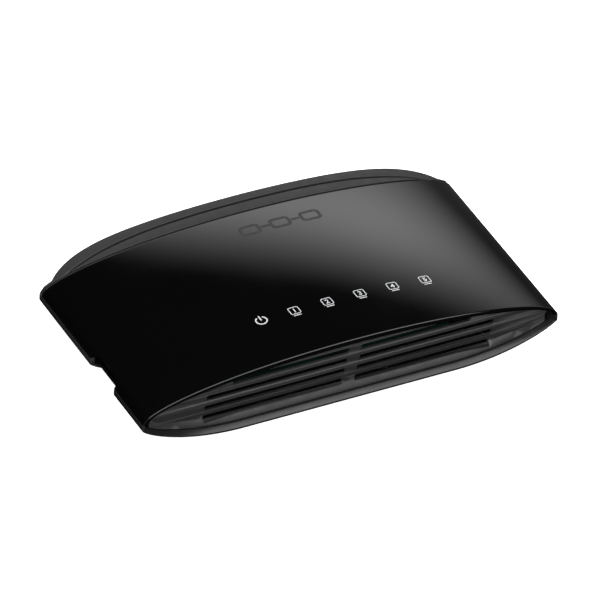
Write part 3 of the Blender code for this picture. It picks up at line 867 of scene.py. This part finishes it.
def make_emblem():
    """A generic mark moulded into the cover: three linked cells, with no lettering."""
    lift = (-0.2, 0.03)
    shell = bmesh.new()
    for x in (-EMBLEM_PITCH, 0.0, EMBLEM_PITCH):
        cell = rounded_rectangle(x - 3.6, x + 3.6, -2.3, 2.3, 1.4, 6)
        add_ribbon(shell, cell, 1.3, True, lift)
    for x in (-EMBLEM_PITCH / 2, EMBLEM_PITCH / 2):
        add_ribbon(shell, [(x - 1.75, 0), (x + 1.75, 0)], 1.2, False, lift)
    wrap_on_cover(shell, *EMBLEM)
    settle(to_object("moulded_emblem", shell, "insert", 50.0), "cover_gloss")


# ---------------------------------------------------------------- feet and screws

def make_feet():
    for number, (x, y) in enumerate(FOOT_PLACES, start=1):
        profile = [(FOOT_RADIUS - 1.6, 0.25), (FOOT_RADIUS - 1.2, 0.0), (FOOT_RADIUS - 0.5, 0.0),
                   (FOOT_RADIUS - 0.15, 0.15), (FOOT_RADIUS, 0.5), (FOOT_RADIUS, FOOT_TOP - 0.3),
                   (FOOT_RADIUS - 0.3, FOOT_TOP)]
        foot = turned(f"foot_pad_{number}", (x, y, 0), profile, "rubber", 56)
        settle(foot, "foot_rubber", f"rubber_foot_{number}")


def make_case_screws():
    for number, (x, y) in enumerate(CASE_SCREWS, start=1):
        shape = [(2.0, 4.4), (2.5, 4.55), (2.7, 4.9), (2.7, 6.1), (1.4, 6.1)]
        levels = THREAD_RIDGES * 2
        for i in range(levels):
            shape.append((1.2 if i % 2 else 1.4, 6.4 + i * 8.6 / levels))
        shape += [(1.3, 15.4), (0.6, 16.6)]
        screw = turned(f"pan_screw_{number}", (x, y, 0), shape, "steel", 28)
        tools = []
        for wide, deep in ((1.5, 0.3), (0.3, 1.5)):
            low, high = (x - wide, y - deep, 3.5), (x + wide, y + deep, 5.5)
            tools.append(box("cross_tool", low, high, "steel"))
        boolean(screw, tools)
        settle(screw, "zinc_steel", f"case_screw_{number}")


# ---------------------------------------------------------------- CAD nodes that stay

def dress_inner_parts():
    """Give the carried-over board parts their materials."""
    groups = (("board", ("circuit_board",)), ("epoxy", ("switch_chip", "line_transformer")),
              ("fins", ("heatsink",)), ("sleeve", ("capacitor",)), ("tin", ("clock_crystal",)),
              ("ferrite", ("power_inductor",)), ("diode", ("led_",)), ("clear", ("light_pipe",)),
              ("steel", ("board_screw",)))
    for finish, starts in groups:
        for name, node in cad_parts.items():
            if name.startswith(starts):
                for place in node.material_slots:
                    place.material = FINISHES[finish].material


# ---------------------------------------------------------------- studio

def make_floor():
    """A white sweep that glows a little, so that the case stands on it without a shadow."""
    shell = bmesh.new()
    half, rows = 2500.0, 12
    bmesh.ops.create_grid(shell, x_segments=rows, y_segments=rows, size=half)
    floor = to_object("studio_floor", shell, "ink")
    paper = Finish("floor_paper", (0.9, 0.9, 0.9), 0.9)
    paper.shader.inputs["Specular IOR Level"].default_value = 0.1
    paper.uneven_gloss(0.85, 0.95, 0.01).tint((0.88, 0.88, 0.88), paper.noise(0.002))
    paper.shader.inputs["Emission Color"].default_value = (1, 1, 1, 1)
    paper.shader.inputs["Emission Strength"].default_value = 0.95
    floor.data.materials[0] = paper.material
    floor.visible_glossy = floor.visible_diffuse = floor.visible_shadow = False


def aim(thing, place, target):
    thing.location = place
    thing.rotation_euler = (Vector(target) - Vector(place)).to_track_quat("-Z", "Y").to_euler()


# along an axis of a light, as fractions: where it is dark, where it is full, its least brightness
FADES = (("Y", 0.97, 0.74, 0.0), ("Y", 0.6, 0.84, 0.07), ("X", 0.34, 0.46, 0.35))


def soft_light(name, place, target, width, height, radiance, fade=False):
    """An area light of a given radiance; fade leaves a soft band of light across its upper part."""
    light = bpy.data.lights.new(name, "AREA")
    light.shape = "RECTANGLE"
    light.size, light.size_y = width, height
    light.energy = radiance * width * height * math.pi
    lamp = bpy.data.objects.new(name, light)
    bpy.context.collection.objects.link(lamp)
    aim(lamp, place, target)
    lamp.visible_camera = False
    if fade:
        light.use_nodes = True
        nodes, links = light.node_tree.nodes, light.node_tree.links
        place = nodes.new("ShaderNodeNewGeometry").outputs["Parametric"]
        axes = nodes.new("ShaderNodeSeparateXYZ")
        links.new(place, axes.inputs[0])
        strength = nodes["Emission"].inputs["Strength"]
        for axis, dark_end, bright_end, least in FADES:
            curve = nodes.new("ShaderNodeMapRange")
            curve.interpolation_type = "SMOOTHSTEP"
            curve.inputs["From Min"].default_value = dark_end
            curve.inputs["From Max"].default_value = bright_end
            curve.inputs["To Min"].default_value = least
            links.new(axes.outputs[axis], curve.inputs["Value"])
            both = nodes.new("ShaderNodeMath")
            both.operation = "MULTIPLY"
            links.new(curve.outputs["Result"], both.inputs[0])
            both.inputs[1].default_value = 1.0
            links.new(both.outputs[0], strength)
            strength = both.inputs[1]
    return lamp


def make_world():
    """White where the camera sees past the floor, nearly dark for everything else."""
    world = bpy.data.worlds.new("studio")
    bpy.context.scene.world = world
    world.use_nodes = True
    nodes, links = world.node_tree.nodes, world.node_tree.links
    nodes.clear()
    seen = nodes.new("ShaderNodeBackground")
    seen.inputs["Color"].default_value = (1, 1, 1, 1)
    felt = nodes.new("ShaderNodeBackground")
    felt.inputs["Color"].default_value = (1, 1, 1, 1)
    felt.inputs["Strength"].default_value = 0.004
    mix = nodes.new("ShaderNodeMixShader")
    path = nodes.new("ShaderNodeLightPath")
    out = nodes.new("ShaderNodeOutputWorld")
    links.new(path.outputs["Is Camera Ray"], mix.inputs["Fac"])
    links.new(felt.outputs[0], mix.inputs[1])
    links.new(seen.outputs[0], mix.inputs[2])
    links.new(mix.outputs[0], out.inputs["Surface"])


def make_lights():
    soft_light("overhead", (0.0, -0.3, 0.75), (0, 0, 0), 1.2, 1.0, 3.1)
    soft_light("back_card", (0.157, 0.29, 0.01), (0, 0, 0.01), 1.2, 0.62, 2.6, True)
    soft_light("front_glint", (0.38, -0.6, 0.7), (0, 0, 0.01), 0.35, 0.35, 0.8)
    fill = soft_light("front_fill", (-0.25, -0.75, 0.12), (0, 0, 0.01), 0.9, 0.3, 7.0)
    fill.visible_glossy = False
    soft_light("left_fill", (-0.9, -0.3, 0.35), (0, 0, 0.01), 0.5, 0.5, 0.5)


def make_camera():
    a, e, r = (math.radians(v) for v in (AZIMUTH, ELEVATION, ROLL))
    back = Vector((math.sin(a) * math.cos(e), -math.cos(a) * math.cos(e), math.sin(e)))
    level = Vector((math.cos(a), math.sin(a), 0))
    raised = back.cross(level)
    right = math.cos(r) * level + math.sin(r) * raised
    up = math.cos(r) * raised - math.sin(r) * level
    low, high = CAD_BOUNDS
    target = (low + high) / 2 + right * AIM_RIGHT + up * AIM_UP
    data = bpy.data.cameras.new("camera")
    data.sensor_width = 36.0
    data.lens = 36.0 * DISTANCE / VIEW_WIDTH
    data.clip_start, data.clip_end = 0.5, 20.0
    camera = bpy.data.objects.new("camera", data)
    bpy.context.collection.objects.link(camera)
    turn = Matrix((right, up, back)).transposed().to_4x4()
    camera.matrix_world = Matrix.Translation(target + back * DISTANCE) @ turn
    bpy.context.scene.camera = camera
    bpy.context.scene.view_settings.view_transform = "Standard"


def build():
    make_cover()
    make_housing()
    make_trim_band()
    make_tray()
    make_grille()
    make_rear_panel()
    make_lock_recess()
    for number, x in enumerate(jack_places(), start=1):
        make_jack(number, x)
    make_dc_inlet()
    for name, x in zip(SIGN_NAMES, sign_places()):
        make_sign(name, x)
    make_emblem()
    make_feet()
    make_case_screws()
    dress_inner_parts()
    make_floor()
    make_world()
    make_lights()
    make_camera()


build()
